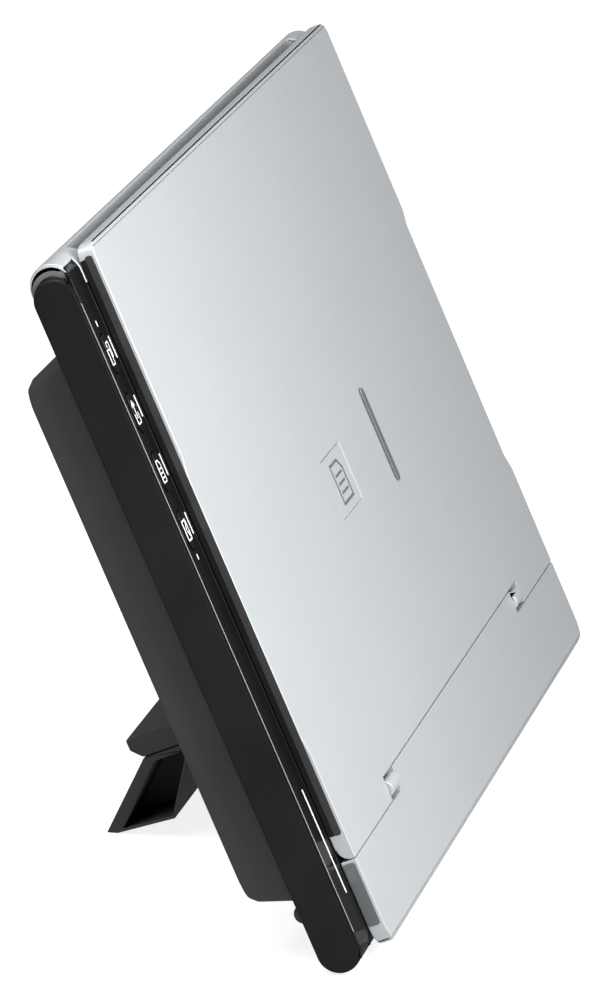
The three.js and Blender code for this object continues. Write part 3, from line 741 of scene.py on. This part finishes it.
class SCANNER_OT_carriage(bpy.types.Operator):
    """Make the sensor carriage, its light, lens, motor and pulley"""

    bl_idname = "scanner.carriage"
    bl_label = "Carriage"

    def execute(self, context):
        worked("carriage_frame", "carriage_tray", "carriage", "black", 0.0004, 2)
        worked("sensor_bar", "sensor_body", "carriage", "black", 0.0002, 2)
        worked("lens_strip", "lens_row", "carriage", "acrylic", 0.0002, 2)
        worked("light_guide", "light_pipe", "carriage", "acrylic", 0.0003, 3)
        worked("drive_motor", "motor_can", "carriage", "steel", 0.0003, 3, 50.0)
        worked("drive_pulley", "toothed_wheel", "drive_pulley", "black", 0.0)
        return {"FINISHED"}


class SCANNER_OT_boards(bpy.types.Operator):
    """Make the main circuit board and the flat ribbon"""

    bl_idname = "scanner.boards"
    bl_label = "Boards"

    def execute(self, context):
        worked("main_board", "main_circuit", "scanner_base", "board", 0.0002, 2)
        worked("flex_cable", "flat_ribbon", "scanner_base", "ribbon", 0.00005, 2)
        return {"FINISHED"}


class SCANNER_OT_stage(bpy.types.Operator):
    """Lay the plain pale floor and set the soft lights and the camera"""

    bl_idname = "scanner.stage"
    bl_label = "Stage"

    camera_place, camera_aim = (-2.4785, -0.5622, 0.8764), (0.9344, 0.2144, -0.2846)
    floor_half, floor_height, floor_glow = 20.0, -0.0002, 0.85
    world_strength = 0.14
    light_target = (0.0, 0.0, 0.13)

    def execute(self, context):
        settings = context.scene.scanner_stage
        self.floor(tuple(settings.floor))
        self.lights(context)
        camera = bpy.data.objects.new("camera", bpy.data.cameras.new("camera"))
        camera.data.lens = settings.focal
        camera.data.clip_end = 50.0
        camera.location = self.camera_place
        camera.rotation_mode = "QUATERNION"
        camera.rotation_quaternion = Vector(self.camera_aim).to_track_quat("-Z", "Y")
        context.scene.collection.objects.link(camera)
        context.scene.camera = camera
        context.scene.view_settings.view_transform = "Standard"
        return {"FINISHED"}

    def floor(self, tone):
        half, z = self.floor_half, self.floor_height
        mesh = bpy.data.meshes.new("floor")
        corners = [(-half, -half, z), (half, -half, z), (half, half, z), (-half, half, z)]
        mesh.from_pydata(corners, [], [(0, 1, 2, 3)])
        floor = link_mesh("floor", mesh)
        m, tree, shader, vector = start_material("pale_floor")
        shades_out = shades(tree, noise(tree, vector, 3.0), tuple(c * 0.99 for c in tone), tone)
        tree.links.new(shades_out, shader.inputs["Base Color"])
        shader.inputs["Roughness"].default_value = 0.9
        shader.inputs["Emission Color"].default_value = (1.0, 1.0, 1.0, 1.0)
        shader.inputs["Emission Strength"].default_value = self.floor_glow
        mesh.materials.append(m)
        floor.visible_glossy = False

    def lights(self, context):
        world = bpy.data.worlds.new("studio")
        world.use_nodes = True
        back = world.node_tree.nodes["Background"]
        back.inputs["Color"].default_value = (1.0, 1.0, 1.0, 1.0)
        back.inputs["Strength"].default_value = self.world_strength
        context.scene.world = world
        aim = Vector(self.light_target)
        boxes = (
            ("front_box", (-0.4, -0.45, 0.5), (0.4, 0.4), 6.6),
            ("top_box", (-0.6, 0.5, 1.9), (1.6, 1.6), 40.0),
        )
        for name, place, size, power in boxes:
            light = bpy.data.lights.new(name, "AREA")
            light.shape = "RECTANGLE"
            light.size, light.size_y = size
            light.energy = power
            obj = bpy.data.objects.new(name, light)
            obj.location = place
            obj.rotation_mode = "QUATERNION"
            obj.rotation_quaternion = (aim - Vector(place)).to_track_quat("-Z", "Y")
            obj.visible_camera = False
            context.scene.collection.objects.link(obj)


# ---- add-on -------------------------------------------------------------------------------------
STEPS = ("finishes", "lid", "mat", "hinge", "base", "strip", "housing", "stand", "fixings", "drive",
         "carriage", "boards", "stage")


class SCANNER_PT_panel(bpy.types.Panel):
    """The scanner's pieces and settings"""

    bl_idname = "SCANNER_PT_panel"
    bl_label = "Flatbed scanner"
    bl_space_type = "VIEW_3D"
    bl_region_type = "UI"
    bl_category = "Scanner"

    def draw(self, context):
        for step in STEPS:
            self.layout.operator(f"scanner.{step}")
        for group in (context.scene.scanner_shell, context.scene.scanner_works, context.scene.scanner_stage):
            for name in group.__annotations__:
                self.layout.prop(group, name)


CLASSES = (
    ShellSettings, WorksSettings, StageSettings, SCANNER_OT_finishes, SCANNER_OT_lid, SCANNER_OT_mat,
    SCANNER_OT_hinge, SCANNER_OT_base, SCANNER_OT_strip, SCANNER_OT_housing, SCANNER_OT_stand,
    SCANNER_OT_fixings, SCANNER_OT_drive, SCANNER_OT_carriage, SCANNER_OT_boards, SCANNER_OT_stage,
    SCANNER_PT_panel,
)


def register():
    for cls in CLASSES:
        bpy.utils.register_class(cls)
    bpy.types.Scene.scanner_shell = bpy.props.PointerProperty(type=ShellSettings)
    bpy.types.Scene.scanner_works = bpy.props.PointerProperty(type=WorksSettings)
    bpy.types.Scene.scanner_stage = bpy.props.PointerProperty(type=StageSettings)


def unregister():
    del bpy.types.Scene.scanner_stage
    del bpy.types.Scene.scanner_works
    del bpy.types.Scene.scanner_shell
    for cls in reversed(CLASSES):
        bpy.utils.unregister_class(cls)


def main():
    register()
    for step in STEPS:
        getattr(bpy.ops.scanner, step)()


if __name__ == "__main__":
    main()
